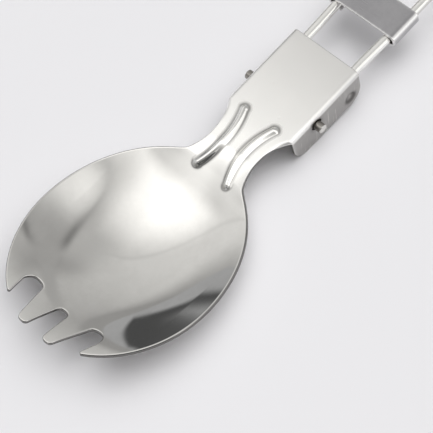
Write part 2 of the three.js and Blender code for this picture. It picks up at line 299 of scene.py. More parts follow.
def bowl_edge():
    """The neck's and bowl's edge from the bridge to the outer tine's tip, and the circle round that tip.

    The circle's centre is on the line that lies one tip radius inside the bowl's edge, at the place where
    its distance to the notch's straight wall is one tip radius too.
    """
    behind = np.linspace(0, -bowl_widest, edge_samples)
    turn = np.radians(np.linspace(0, past_tip_turn, edge_samples))
    x = np.concatenate([behind, -bowl_widest - bowl_front * np.sin(turn[1:])])
    edge = np.stack([x, blank_half_width(x)], 1)
    chord = np.gradient(edge, axis=0)
    outward = np.stack([chord[:, 1], -chord[:, 0]], 1) / np.hypot(*chord.T)[:, None]
    inner = edge - outer_tip_radius * outward
    wall = tine["mouth"] - tine["outer_wall"]
    wall = wall / np.hypot(*wall)
    to_metal = np.array([wall[1], -wall[0]])
    distance = (inner - tine["outer_wall"]) @ to_metal
    front = np.arange(len(x)) >= len(behind)
    place = np.interp(-outer_tip_radius, -distance[front], np.flatnonzero(front))
    index = int(place)
    centre = inner[index] + (place - index) * (inner[index + 1] - inner[index])
    start = math.degrees(math.atan2(*outward[index][::-1]))
    end = math.degrees(math.atan2(*-to_metal[::-1]))
    tip = arc(centre, outer_tip_radius, start, end + 360 * (end < start))
    return np.vstack([edge[:index], tip])


# %% Half the outline, and the whole of it
def head_outline(step):
    """The head's blank as one closed line, counterclockwise, with even steps."""
    length, depth, corner = bridge_length, flange_edge, flange_round
    edge = bowl_edge()
    past_notch = edge[edge[:, 0] < -neck_notch]
    half = np.vstack([
        [[length, 0]],
        arc((length - corner, depth - corner), corner, 0, 90),
        arc((corner, depth - corner), corner, 90, 180),
        three_point(edge[0] + [0, neck_notch], edge[0], past_notch[0]),
        past_notch[1:],
        three_point(tine["outer_wall"], tine["outer_corner"], tine["floor"]),
        three_point(tine["floor"], tine["inner_corner"], tine["inner_wall"]),
        three_point(tine["tine_side"], tine["tine_corner"], tine["tine_tip"]),
        three_point(tine["tine_tip"], tine["tine_centre_corner"], tine["centre_side"]),
        three_point(tine["centre_wall"], tine["centre_corner"], tine["centre_floor"]),
    ])
    whole = np.vstack([half, half[::-1] * [1, -1]])
    keep = np.hypot(*(whole - np.roll(whole, 1, 0)).T) > same_place
    return evenly(whole[keep], step)


head_edge_step = 0.22
head_loop = head_outline(head_edge_step)
print("The blank is", round(np.ptp(head_loop[:, 0]), 1), "by", round(np.ptp(head_loop[:, 1]), 1), "mm")

# %% [markdown]
# ## From an outline to a solid sheet
# A sheet's surface needs points inside its outline. They are taken from plain grids, fine where the metal
# bends and coarse where it is flat, and joined to the outline by a Delaunay triangulation. The same
# triangles serve the outside and the inside face. Along every cut edge a strip of rings goes round
# from one face to the other, so that the edge is rounded as a polished edge is, and the solid is closed.
# Solidify and Bevel modifiers could do the same on a plainer outline, but a Bevel is held back by the
# short edges of a fine mesh, and these rings stay even round every notch and hole.

# %% Rings round a cut edge
edge_round = 0.24
edge_land = 0.36
edge_steps = 5


def edge_rings(thickness):
    """The rings from the outside face round the cut edge to the inside face, as (distance in, depth).

    On the quarter circles, distance = r (1 - cos(angle)) and depth = r (1 - sin(angle)), mirrored for the
    other face. The first and last ring lie flat, one land from the edge.
    """
    radius = min(edge_round, thickness / 3)
    angle = np.radians(np.linspace(90, 0, edge_steps))
    upper = np.stack([radius * (1 - np.cos(angle)), radius * (1 - np.sin(angle))], 1)
    upper = np.vstack([[edge_land, 0], upper])
    lower = (upper * [1, -1] + [0, thickness])[::-1]
    return np.vstack([upper, lower])


def inward(loop):
    """Unit vectors square to a loop, on its left, where the metal is."""
    chord = np.roll(loop, -1, 0) - np.roll(loop, 1, 0)
    return np.stack([-chord[:, 1], chord[:, 0]], 1) / np.hypot(*chord.T)[:, None]


# %% Distances and insides
block_size = 400


def in_blocks(points, measure):
    """Runs measure on a few hundred points at a time, which keeps its arrays small."""
    blocks = np.array_split(points, len(points) // block_size + 1)
    return np.concatenate([measure(block) for block in blocks])


def distance_to(points, line):
    """The distance from each point to the nearest point of a line."""
    return in_blocks(points, lambda p: np.hypot(*(p[:, None] - line).transpose(2, 0, 1)).min(1))


def inside(points, loop):
    """Whether each point is inside a closed loop: a ray from it along x crosses the loop an odd number
    of times."""
    start, end = loop, np.roll(loop, -1, 0)

    def crossings(p):
        px, py = p[:, :1], p[:, 1:]
        spans = (start[:, 1] > py) != (end[:, 1] > py)
        rise = np.where(end[:, 1] == start[:, 1], 1, end[:, 1] - start[:, 1])
        meets = start[:, 0] + (py - start[:, 1]) / rise * (end[:, 0] - start[:, 0])
        return (spans & (px < meets)).sum(1) % 2 == 1

    return in_blocks(points, crossings)


def grid(x_from, x_to, s_from, s_to, step):
    """A plain grid of points that fills a rectangle of the blank."""
    columns = np.linspace(x_from, x_to, max(2, round((x_to - x_from) / step)))
    rows = np.linspace(s_from, s_to, max(2, round((s_to - s_from) / step)))
    return np.stack(np.meshgrid(columns, rows), -1).reshape(-1, 2)


clear_share = 0.6


def filling(loops, zones):
    """The inner points of a blank: each zone is a rectangle with its own step, and a finer zone clears a
    coarser one from its rectangle. Points too near a cut edge are left out, because the rings go there."""
    points = np.zeros((0, 2))
    for x_from, x_to, s_from, s_to, step in zones:
        within = (points[:, 0] > x_from) & (points[:, 0] < x_to)
        within &= (points[:, 1] > s_from) & (points[:, 1] < s_to)
        fresh = grid(x_from, x_to, s_from, s_to, step)
        clear = distance_to(fresh, np.vstack(loops)) > edge_land + clear_share * step
        points = np.vstack([points[~within], fresh[clear]])
    points = points[inside(points, loops[0])]
    for hole in loops[1:]:
        points = points[~inside(points, hole)]
    return points


# %% Fold a flat blank into a solid
def pressed_sheet(name, loops, zones, fold, thickness, dent=None):
    """A closed mesh of sheet metal.

    loops holds the outline, counterclockwise, and then the holes, clockwise. fold gives the outside face
    for arrays x and s, and dent how far that face is pressed in, outside and inside. A point at depth d
    is fold(x, s) - normal * (d + dent), where the normal is the cross product of the fold's two slopes.
    """
    points = filling(loops, zones)
    ring_table = edge_rings(thickness)
    sides = [inward(loop) for loop in loops]
    firsts = [loop + edge_land * side for loop, side in zip(loops, sides)]
    flat = np.vstack([*firsts, points])
    starts = np.cumsum([0, *map(len, loops)])
    edges = [
        (start + k, start + (k + 1) % len(loop))
        for start, loop in zip(starts, loops) for k in range(len(loop))
    ]
    out = delaunay_2d_cdt([Vector(p) for p in flat], edges, [], 0, same_place)
    source = np.array([origin[0] for origin in out[3]])
    triangles = source[np.array(out[2])]
    middles = flat[triangles].mean(1)
    keep = inside(middles, firsts[0])
    for first in firsts[1:]:
        keep &= ~inside(middles, first)
    triangles = triangles[keep]

    blank = [flat, flat]
    depth = [np.zeros(len(flat)), np.full(len(flat), thickness)]
    quads = []
    count = 2 * len(flat)
    for start, loop, side in zip(starts, loops, sides):
        own = np.arange(len(loop))
        rings = [start + own]
        for distance, fall in ring_table[1:-1]:
            blank.append(loop + distance * side)
            depth.append(np.full(len(loop), fall))
            rings.append(count + own)
            count += len(loop)
        rings.append(len(flat) + start + own)
        for upper, lower in zip(rings, rings[1:]):
            quads.append(np.stack([upper, lower, np.roll(lower, -1), np.roll(upper, -1)], 1))
    blank, depth = np.vstack(blank), np.concatenate(depth)

    hop = thickness / 100
    x, s = blank.T
    slope_x = fold(x + hop, s) - fold(x - hop, s)
    slope_s = fold(x, s + hop) - fold(x, s - hop)
    normal = np.cross(slope_x, slope_s)
    normal /= np.linalg.norm(normal, axis=1)[:, None]
    pressed = 0 if dent is None else dent(x, s, depth / thickness)
    place = fold(x, s) - normal * (depth + pressed)[:, None]
    faces = [*triangles.tolist(), *(triangles[:, ::-1] + len(flat)).tolist(), *np.vstack(quads).tolist()]
    return mesh_piece(name, placed(place), faces, blank * MM, distance_to(blank, np.vstack(loops)))


def mesh_piece(name, place, faces, pattern, edge_distance):
    """A smooth mesh object at the origin, with its pattern coordinates as a UV map, in metres of metal, and
    the distance of each point from the nearest cut edge as an attribute, in millimetres."""
    mesh = bpy.data.meshes.new(name)
    mesh.from_pydata(place.tolist(), [], faces)
    corner = np.zeros(len(mesh.loops), np.int32)
    mesh.loops.foreach_get("vertex_index", corner)
    mesh.uv_layers.new(name="pattern").data.foreach_set("uv", pattern[corner].astype(np.float32).ravel())
    attribute = mesh.attributes.new("edge_distance", "FLOAT", "POINT")
    attribute.data.foreach_set("value", edge_distance.astype(np.float32))
    mesh.shade_smooth()
    piece = bpy.data.objects.new(name, mesh)
    bpy.context.scene.collection.objects.link(piece)
    print(name, "has", len(mesh.vertices), "points and", len(mesh.polygons), "faces")
    return piece


# %% [markdown]
# ## The head
# The flanges carry the pivot holes and, near their rear, a round dimple each, which the wires snap over.
# A dimple is pressed in from outside, and its back stands out less, so that the wire clears it. Two small
# nicks in the top of the bridge come from use. The two ribs in the neck are pressed out from below, so for
# this function they are dents with a minus sign, equal on both faces. A Boolean could cut the holes, but
# as loops of the blank they get the same rounded edges as the outline.

# %% Dimples, nicks and ribs
dimple_place = 18.4
dimple_drop = 6.3
dimple_radius = 1.7
dimple_depth = 0.5
dimple_bump = 0.15
nick_radius = 0.45
nick_depth = 0.035
nicks = [(8.8, 3.7), (2.9, -3.1)]


def head_dents(x, s, depth_share):
    """How far the sheet is pressed in: a dimple is depth * (1 - (distance / radius)^2), and less inside.

    The ribs count against it on both faces, and the nicks only on the outside.
    """
    away = np.hypot(x - dimple_place, np.abs(s) - down_the_flange(dimple_drop))
    depth = dimple_depth + (dimple_bump - dimple_depth) * depth_share
    pressed = depth * np.clip(1 - (away / dimple_radius) ** 2, 0, 1) - rib_at(x, s)
    for nick_x, nick_s in nicks:
        away = np.hypot(x - nick_x, s - nick_s) / nick_radius
        pressed = pressed + nick_depth * (1 - depth_share) * np.clip(1 - away ** 2, 0, 1) ** 2
    return pressed


# %% Press the head
plate_step, rib_step, bend_step, nick_step = 0.5, 0.25, 0.2, 0.1
hole_points = 97
hole_place = down_the_flange(pivot_drop)
hole_loops = [
    evenly(arc((pivot_place, side * hole_place), pivot_hole / 2, 360, 0, hole_points)[:-1], bend_step)
    for side in (-1, 1)
]
rib_end = rib_half_length + rib_width
head_zones = [(-head_reach, bridge_length, -flange_edge, flange_edge, plate_step)]
head_zones += [(-rib_place - rib_end, rib_end - rib_place, -neck_width, neck_width, rib_step)]
for side in (-1, 1):
    bend = sorted((side * (bridge_flat - sheet), side * (flange_start + sheet)))
    dimple = sorted(side * (down_the_flange(dimple_drop) + k * dimple_radius) for k in (-1, 1))
    head_zones += [(-hollow_start, bridge_length, *bend, bend_step)]
    head_zones += [(dimple_place - dimple_radius, dimple_place + dimple_radius, *dimple, bend_step)]
for nick_x, nick_s in nicks:
    reach = 1.5 * nick_radius
    head_zones += [(nick_x - reach, nick_x + reach, nick_s - reach, nick_s + reach, nick_step)]
head = pressed_sheet("pressed_head", [head_loop, *hole_loops], head_zones, head_fold, sheet, head_dents)

# %% [markdown]
# ## The sliding lock
# The lock is a strip of thinner sheet. Each side is folded twice through a right angle, so that it goes
# round its wire and ends in a lip underneath. Its section could be drawn and stretched along the wires,
# but the function that presses the head makes it from a rectangle with slightly rounded corners, and its
# cut edges and the lines of its finish then follow the folds by themselves.

# %% Fold of the lock
lock_half_width = grip_spread / 2 + wire_radius + lock_gap + lock_sheet
lock_top = -pivot_drop + wire_radius + lock_gap + lock_sheet
lock_height = wire + 2 * (lock_gap + lock_sheet)
lock_corner = 0.5
lock_flat = lock_half_width - lock_bend
lock_wall = lock_height - 2 * lock_bend
lock_turn = lock_bend * math.pi / 2
lock_edge = lock_flat + 2 * lock_turn + lock_wall + lock_lip - lock_bend


def lock_fold(x, s):
    """The outside of the folded lock: flat, a quarter turn, a short wall, a second quarter turn, a flat lip.

    Each stretch takes what is left of s after the ones before it, so y and z are sums of the stretches.
    """
    across = np.abs(s)
    first = np.clip((across - lock_flat) / lock_bend, 0, math.pi / 2)
    wall = np.clip(across - lock_flat - lock_turn, 0, lock_wall)
    second = np.clip((across - lock_flat - lock_turn - lock_wall) / lock_bend, 0, math.pi / 2)
    lip = np.maximum(0, across - lock_flat - 2 * lock_turn - lock_wall)
    y = np.minimum(across, lock_flat) + lock_bend * (np.sin(first) - (1 - np.cos(second))) - lip
    z = lock_top - lock_bend * (1 - np.cos(first) + np.sin(second)) - wall
    return np.stack([x, np.sign(s) * y, z], -1)


# %% Press the lock
strip_step, strip_edge_step, roll_step = 0.35, 0.2, 0.22
lock_end = lock_place + lock_length
near, far = lock_place + lock_corner, lock_end - lock_corner
wide = lock_edge - lock_corner
lock_loop = evenly(np.vstack([
    arc((far, wide), lock_corner, 0, 90),
    arc((near, wide), lock_corner, 90, 180),
    arc((near, -wide), lock_corner, 180, 270),
    arc((far, -wide), lock_corner, 270, 360),
]), strip_edge_step)
lock_zones = [(lock_place, lock_end, -lock_edge, lock_edge, strip_step)]
for side in (-1, 1):
    rolled = sorted((side * (lock_flat - sheet), side * lock_edge))
    lock_zones += [(lock_place, lock_end, *rolled, roll_step)]
lock = pressed_sheet("folded_lock", [lock_loop], lock_zones, lock_fold, lock_sheet)

# %% [markdown]
# ## The wire handle
# One wire makes the pins, the legs and the round grip. Its line is worked out on the level of the pivot,
# then a circle is carried along it. At both ends the circle shrinks to a slightly rounded, flat face. A
# curve object with a round bevel would give the same bar, but not these ends.

# %% Line of the wire
pin_points, bend_points, spread_points, grip_points = 8, 20, 30, 40


def wire_line():
    """Half the wire's centre line, from the pin's end to the grip's far end, then the same mirrored.

    A straight pin, a quarter circle of pin_bend, a straight leg to the bridge's rear, an eased spread to
    the grip, a straight leg, and a half circle as wide as the grip.
    """
    near, far = channel_spread / 2, grip_spread / 2
    pin_y = np.linspace(half_bridge + pin_stand_out, near + pin_bend, pin_points)
    pin = np.stack([np.full(pin_points, pivot_place), pin_y], 1)
    bend = arc((pivot_place + pin_bend, near + pin_bend), pin_bend, 180, 270, bend_points)
    spread_x = np.linspace(bridge_length, spread_end, spread_points)
    easing = smooth((spread_x - bridge_length) / (spread_end - bridge_length))
    spread = np.stack([spread_x, near + (far - near) * easing], 1)
    grip = arc((handle_reach - wire_radius - far, 0), far, 90, 0, grip_points)
    half = np.vstack([pin[:-1], bend, spread, grip])
    return np.vstack([half, half[-2::-1] * [1, -1]])


# %% Carry a circle along the line
wire_sides = 32
pin_round = 0.3
pin_steps = 6


def carried_circle(name, line, radius, height):
    """A round bar along a line on one level.

    Each ring is centre + radius * (cos(angle) * sideways + sin(angle) * up), where sideways is square to the
    line's chord. At both ends the rings follow a quarter circle, r (1 - cos) inwards and r (1 - sin) off the
    radius, and a fan of triangles closes the flat face that is left.
    """
    chord = np.gradient(line, axis=0)
    forward = chord / np.hypot(*chord.T)[:, None]
    angle = np.radians(np.linspace(0, 90, pin_steps))
    inside_end = pin_round * (1 - np.cos(angle))
    end_radii = radius - pin_round * (1 - np.sin(angle))
    start = line[0] + forward[0] * inside_end[:, None]
    end = line[-1] - forward[-1] * inside_end[::-1, None]
    centres = np.vstack([start, line[1:-1], end])
    ways = np.vstack([
        np.repeat(forward[:1], pin_steps, 0), forward[1:-1], np.repeat(forward[-1:], pin_steps, 0),
    ])
    radii = np.concatenate([end_radii, np.full(len(line) - 2, radius), end_radii[::-1]])
    round_trip = np.linspace(0, 2 * math.pi, wire_sides, endpoint=False)
    sideways = np.stack([-ways[:, 1], ways[:, 0], np.zeros(len(ways))], 1)[:, None]
    up = np.array([0, 0, 1])
    middle = np.concatenate([centres, np.full((len(centres), 1), height)], 1)
    ring = np.cos(round_trip)[:, None] * sideways + np.sin(round_trip)[:, None] * up
    place = (middle[:, None] + radii[:, None, None] * ring).reshape(-1, 3)
    length = np.concatenate([[0], np.cumsum(np.hypot(*np.diff(centres, axis=0).T))])
    pattern = np.stack(np.meshgrid(length, round_trip * radius, indexing="ij"), -1).reshape(-1, 2)
    index = np.arange(len(place)).reshape(-1, wire_sides)
    beside = np.roll(index, -1, 1)
    quads = np.stack([index[:-1], beside[:-1], beside[1:], index[1:]], -1).reshape(-1, 4)
    first, last = len(place), len(place) + 1
    fans = [(first, b, a) for a, b in zip(index[0].tolist(), beside[0].tolist())]
    fans += [(last, a, b) for a, b in zip(index[-1].tolist(), beside[-1].tolist())]
    place = np.vstack([place, middle[[0, -1]]])
    pattern = np.vstack([pattern, pattern[[0, -1]]])
    to_end = np.minimum(pattern[:, 0], length[-1] - pattern[:, 0])
    return mesh_piece(name, placed(place), [*quads.tolist(), *fans], pattern * MM, to_end)


handle = carried_circle("bent_wire", wire_line(), wire_radius, -pivot_drop)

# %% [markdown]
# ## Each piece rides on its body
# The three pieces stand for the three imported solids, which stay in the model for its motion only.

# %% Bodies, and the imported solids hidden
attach(head, "head")
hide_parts("spork_head")
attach(handle, "handle")
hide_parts("wire_handle")
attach(lock, "lock")
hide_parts("sliding_lock")

# %% [markdown]
# ## Shader groups
# Every steel surface has the same kinds of marks: clouds where the polish is duller, hairline scratches,
# and wear beside the cut edges. Each is a node group with its own inputs, so that each material sets its
# own amounts. The groups give values only, and the shader stays in the material. Masks need many small
# sums, and a tree of Math nodes is hard to read as code. So a node's output is wrapped in a small class,
# and a sum of two of them, written as on paper, adds the Math node by itself.

# %% Add a node
def put(tree, kind, settings=None, **links):
    """Adds a node, sets its properties, and links or sets its inputs by name, with _ for a space.

    The name n0 is the first input, n1 the second, for nodes whose inputs share one name.
    """
    node = tree.nodes.new(kind)
    for key, value in (settings or {}).items():
        setattr(node, key, value)
    for key, value in links.items():
        name = key.replace("_", " ")
        numbered = name[0] == "n" and name[1:].isdigit()
        socket = node.inputs[int(name[1:])] if numbered else node.inputs[name]
        if isinstance(value, Amount):
            value = value.socket
        if isinstance(value, bpy.types.NodeSocket):
            tree.links.new(value, socket)
        else:
            socket.default_value = value
    return node


# %% Sums written as on paper
class Amount:
    """A number that varies over a surface: one output of a node. A plain sum of two adds a Math node."""

    def __init__(self, node, output=0):
        self.tree = node.id_data
        self.socket = node.outputs[output]

    def math(self, operation, first, second=0.0):
        """The result of a Math node in the same tree."""
        return Amount(put(self.tree, "ShaderNodeMath", {"operation": operation}, n0=first, n1=second))

    def __add__(self, other):
        return self.math("ADD", self, other)

    def __sub__(self, other):
        return self.math("SUBTRACT", self, other)

    def __rsub__(self, other):
        return self.math("SUBTRACT", other, self)

    def __mul__(self, other):
        return self.math("MULTIPLY", self, other)

    def __truediv__(self, other):
        return self.math("DIVIDE", self, other)

    def __pow__(self, other):
        return self.math("POWER", self, other)

    def __abs__(self):
        return self.math("ABSOLUTE", self)

    __radd__ = __add__
    __rmul__ = __mul__


def parts(tree, vector):
    """The three numbers of a vector, each as an amount."""
    node = put(tree, "ShaderNodeSeparateXYZ", Vector=vector)
    return [Amount(node, k) for k in range(3)]


# %% Larger, smaller, ramps, bells and distances
def larger(first, second):
    """The larger of an amount and another."""
    return first.math("MAXIMUM", first, second)


def smaller(first, second):
    """The smaller of an amount and another."""
    return first.math("MINIMUM", first, second)


def ramp(value, low, high, start=0.0, end=1.0, course="LINEAR"):
    """Goes from start to end while the value goes from low to high, and stays there on both sides."""
    return Amount(put(value.tree, "ShaderNodeMapRange", {"interpolation_type": course}, Value=value,
                      From_Min=low, From_Max=high, To_Min=start, To_Max=end))


def eased(value, low, high, start=0.0, end=1.0):
    """A ramp that leaves and arrives gently."""
    return ramp(value, low, high, start, end, "SMOOTHSTEP")


def bell(distance, size):
    """A soft line or spot: exp(-(distance / size)^2)."""
    unit = distance / size
    return unit.math("EXPONENT", -1.0 * unit * unit)


def away(first, second):
    """The distance that two steps square to each other make: sqrt(first^2 + second^2)."""
    return (first * first + second * second) ** 0.5


# %% Make a node group
def node_group(name, inputs, outputs):
    """An empty shader group, and its inputs as amounts by name. An input with no number is a vector."""
    group = bpy.data.node_groups.new(name, "ShaderNodeTree")
    for socket, number in inputs.items():
        kind = "NodeSocketVector" if number is None else "NodeSocketFloat"
        made = group.interface.new_socket(socket, in_out="INPUT", socket_type=kind)
        if number is not None:
            made.default_value = number
    for socket in outputs:
        group.interface.new_socket(socket, in_out="OUTPUT", socket_type="NodeSocketFloat")
    given = group.nodes.new("NodeGroupInput")
    return group, {socket: Amount(given, socket) for socket in inputs}


# %% Clouds of duller polish
cloud_range = (0.35, 0.68)      # the noise runs from about 0 to 1, and mostly lies in this stretch


def make_polish_clouds():
    """Roughness that drifts between two values: noise, spread over the whole range by a ramp."""
    inputs = {"Vector": None, "Scale": 200.0, "Polished": 0.1, "Dull": 0.2}
    group, given = node_group("polish_clouds", inputs, ["Roughness", "Mask"])
    noise = put(group, "ShaderNodeTexNoise", Vector=given["Vector"], Scale=given["Scale"],
                Detail=4.0, Roughness=0.6)
    spread = eased(Amount(noise), *cloud_range)
    rough = ramp(spread, 0.0, 1.0, given["Polished"], given["Dull"])
    put(group, "NodeGroupOutput", Roughness=rough, Mask=spread)
    return group


# %% Hairline scratches
crest_range = (0.58, 0.74)


def make_hairlines():
    """Thin lines in one direction: noise stretched along x, of which only the highest crests are kept."""
    inputs = {"Vector": None, "Angle": 0.0, "Fineness": 9000.0, "Length": 200.0, "Amount": 0.5}
    group, given = node_group("hairlines", inputs, ["Lines"])
    turned = put(group, "ShaderNodeVectorRotate", {"rotation_type": "Z_AXIS"},
                 Vector=given["Vector"], Angle=given["Angle"])
    stretch = put(group, "ShaderNodeCombineXYZ", X=given["Length"], Y=given["Fineness"], Z=given["Length"])
    stretched = put(group, "ShaderNodeVectorMath", {"operation": "MULTIPLY"},
                    n0=turned.outputs[0], n1=stretch.outputs[0])
    noise = put(group, "ShaderNodeTexNoise", Vector=stretched.outputs[0], Scale=1.0, Detail=2.0)
    put(group, "NodeGroupOutput", Lines=ramp(Amount(noise), *crest_range) * given["Amount"])
    return group


# %% Wear beside the cut edges
ragged_share = 0.5


def from_cut(tree):
    """The distance from the nearest cut edge, in millimetres, from the piece's own attribute."""
    return Amount(put(tree, "ShaderNodeAttribute", {"attribute_name": "edge_distance"}), "Fac")


def make_edge_wear():
    """A mask that is 1 at a cut edge and fades to 0 at Reach, made ragged by noise."""
    group, given = node_group("edge_wear", {"Vector": None, "Reach": 0.5}, ["Mask"])
    noise = put(group, "ShaderNodeTexNoise", Vector=given["Vector"], Scale=1500.0, Detail=3.0)
    ragged = Amount(noise) * given["Reach"] + from_cut(group)
    put(group, "NodeGroupOutput", Mask=eased(ragged, 0.0, given["Reach"] * (1 + ragged_share), 1.0, 0.0))
    return group


polish_clouds, hairlines, edge_wear = make_polish_clouds(), make_hairlines(), make_edge_wear()
print("Shader groups:", [group.name for group in bpy.data.node_groups])

# %% [markdown]
# ## Three finishes of stainless steel
# Stainless steel is a warm grey metal, and what tells its surfaces apart is how they were worked. The bowl
# and the ribs are mirror polished, the neck and the bridge are satin, and the wires have rubbed upright
# marks into the flanges. Part of the colour is painted light and shade: the satin is painted lighter at the
# front and darker at the rear, and the flanges, the cut faces and the pins are painted darker, as shade,
# and so are the dimples, rings round the pins and the creases at the ribs' feet. The wire is drawn, so it
# is lined along its length. The lock is rougher than the rest and painted darker, as shade, and a painted
# highlight runs along its rolled sides. Each finish is a base colour under several coats, each with its
# own mask, and each kind of mark adds a little roughness. Pictures of worn steel could be wrapped round
# the pieces instead, but masks that are worked out fit these edges and ribs exactly, and stay sharp from
# near by.

# %% Start a steel material
def steel(name):
    """A metal with its tree and its shader. Its colour, roughness and normal are linked by the caller."""
    material = bpy.data.materials.new(name)
    material.use_nodes = True
    tree = material.node_tree
    shader = tree.nodes["Principled BSDF"]
    shader.inputs["Metallic"].default_value = 1.0
    return material, tree, shader


def places(tree):
    """A point's place on its piece, and its place on the flat blank or along the wire."""
    return (put(tree, "ShaderNodeTexCoord").outputs["Object"],
            put(tree, "ShaderNodeUVMap", {"uv_map": "pattern"}).outputs[0])


def grouped(tree, group, **links):
    """Places a node group in a material with its own values, and gives its outputs as amounts by name."""
    node = put(tree, "ShaderNodeGroup", {"node_tree": group}, **links)
    return {output.name: Amount(node, output.name) for output in node.outputs}


def coated(colour, *coats):
    """A colour under coats: each is a mask and a colour, and shows fully where its mask is 1."""
    for mask, coat in coats:
        mix = put(mask.tree, "ShaderNodeMix", {"data_type": "RGBA"}, Factor=mask)
        for socket, value in zip(mix.inputs[6:8], (colour, coat)):
            if isinstance(value, bpy.types.NodeSocket):
                mask.tree.links.new(value, socket)
            else:
                socket.default_value = (*value, 1)
        colour = mix.outputs[2]
    return colour


def finish(tree, shader, colour, rough, grooves, depth):
    """Links colour and roughness, and through a Bump node the grooves, their full depth in millimetres."""
    bump = put(tree, "ShaderNodeBump", Height=-1.0 * grooves, Distance=depth * MM, Strength=1.0)
    tree.links.new(colour, shader.inputs["Base Color"])
    tree.links.new(rough.socket, shader.inputs["Roughness"])
    tree.links.new(bump.outputs[0], shader.inputs["Normal"])


# %% Colours of the head
bowl_bright, bowl_dull = (0.76, 0.75, 0.725), (0.72, 0.71, 0.685)
# The satin's colour is painted light and shade: lighter at the front and darker towards the rear.
satin_front, satin_rear_shade = (0.97, 0.96, 0.93), (0.72, 0.71, 0.69)
# The flanges are painted darker, as the shade they mirror from the floor beside them.
flange_shade_grey = (0.385, 0.375, 0.365)
rubbed_grey = (0.58, 0.57, 0.55)
worn_grey = (0.80, 0.79, 0.77)
# The cut faces are painted dark, as shade.
cut_face_shade_grey = (0.19, 0.185, 0.18)
# Painted shade in the dimples, round the pins and in the creases at the ribs' feet.
painted_shade_grey = (0.13, 0.125, 0.12)

# %% Roughness that each kind of mark adds to the head, and how strong its painted shade is
satin_rough, neck_rough, flange_rough = 0.22, 0.05, 0.1
scratch_rough, rub_rough, wear_rough = 0.02, 0.12, 0.08
pin_ring_shade, crease_shade = 0.5, 0.45

# %% Where the head's finishes meet, in millimetres on its sheet
neck_starts = (-20, -10)
bridge_starts = (-3, 1)
satin_shade_span = (-6, bridge_length)
flange_starts = (flange_start - 0.4, flange_start + 0.6)
rib_foot = (rib_width / 2, rib_width * 3 / 4)
cut_face = (0, 0.6 * edge_round)
crease_share, crease_size_share = 0.45, 0.12
ring_share, ring_size_share = 0.75, 0.35
shade_round_hole = 0.4


def distance_to_rib(along, across):
    """The distance to a rib's middle line on the sheet: the same arc as in rib_at."""
    from_place = along + rib_place
    within = larger(smaller(from_place, rib_half_length), -rib_half_length)
    line = rib_spacing / 2 + rib_radius - (rib_radius ** 2 - within * within) ** 0.5
    return away(from_place - within, across - line)


def round_mark(along, across, place, drop, radius):
    """A mask of painted shade round a place on the flanges: strongest near the radius, and fading both ways.
    """
    distance = away(along - place, across - down_the_flange(drop))
    return bell(distance - ring_share * radius, ring_size_share * radius)


# %% Finish of the head
scratch_ways = ((0.5, 0.6), (2.1, 0.5), (1.2, 0.4))      # angle in radians and amount
scratch_depth_share = 0.03
rub_angle = math.pi / 2 + 0.12
rub_depth = 0.004


def head_finish():
    """Mirror polish in the bowl, satin on neck and bridge, upright rub marks on the flanges, and painted
    shade on the flanges, cut faces, dimples, pin rings and rib creases.
    """
    material, tree, shader = steel("polished_sheet")
    place, sheet_place = places(tree)
    along, across = [part / MM for part in parts(tree, sheet_place)[:2]]
    across = abs(across)
    on_neck = ramp(along, *neck_starts)
    on_flange = eased(across, *flange_starts) * ramp(along, *bridge_starts)
    from_rib = distance_to_rib(along, across)
    satin_neck = on_neck * ramp(from_rib, *rib_foot)

    clouds = grouped(tree, polish_clouds, Vector=place, Scale=160.0, Polished=0.03, Dull=0.06)
    rubbed = grouped(tree, hairlines, Vector=sheet_place, Angle=rub_angle, Fineness=2200.0,
                     Length=130.0, Amount=2.0)
    fine = [
        grouped(tree, hairlines, Vector=place, Angle=angle, Fineness=7000.0, Length=120.0,
                Amount=amount)["Lines"]
        for angle, amount in scratch_ways
    ]
    scratches = larger(fine[0], larger(fine[1], fine[2]))
    rub = rubbed["Lines"] * on_flange
    wear = grouped(tree, edge_wear, Vector=place, Reach=0.35)["Mask"]
    rough = clouds["Roughness"] + satin_rough * satin_neck + neck_rough * on_neck + flange_rough * on_flange
    rough = rough + rub_rough * rub + scratch_rough * scratches + wear_rough * wear

    # Painted shade: the cut faces are painted dark.
    cut_face_shade = eased(from_cut(tree), *cut_face, 1.0, 0.0)
    # Painted shade: the dimples, rings round the pins and the creases at the ribs' feet are painted darker.
    in_dimple = round_mark(along, across, dimple_place, dimple_drop, dimple_radius)
    round_pin = round_mark(along, across, pivot_place, pivot_drop, pivot_hole / 2 + shade_round_hole)
    in_crease = bell(from_rib - crease_share * rib_width, crease_size_share * rib_width)
    painted_shade = in_dimple + pin_ring_shade * round_pin + crease_shade * in_crease
    bowl = coated(bowl_bright, (clouds["Mask"], bowl_dull))
    # Painted light and shade: the satin is lighter at the front and darker towards the rear.
    satin = coated(satin_front, (ramp(along, *satin_shade_span), satin_rear_shade))
    # The flanges are painted darker, as shade.
    colour = coated(bowl, (on_neck, satin), (on_flange, flange_shade_grey), (rub, rubbed_grey),
                    (wear, worn_grey), (cut_face_shade, cut_face_shade_grey), (painted_shade, painted_shade_grey))
    grooves = rub + scratch_depth_share * scratches
    finish(tree, shader, colour, rough, grooves, rub_depth)
    return material


# %% Finish of the wire
wire_bright, wire_dull, wire_streak = (0.93, 0.92, 0.89), (0.88, 0.87, 0.84), (0.78, 0.77, 0.74)
# The pins are painted dark, as shade, and their ends less so.
pin_shade_grey, pin_end_shade_grey = (0.30, 0.285, 0.265), (0.68, 0.67, 0.64)
pin_end = half_bridge + pin_stand_out
line_rough, end_rough = 0.04, 0.1
line_depth = 0.003


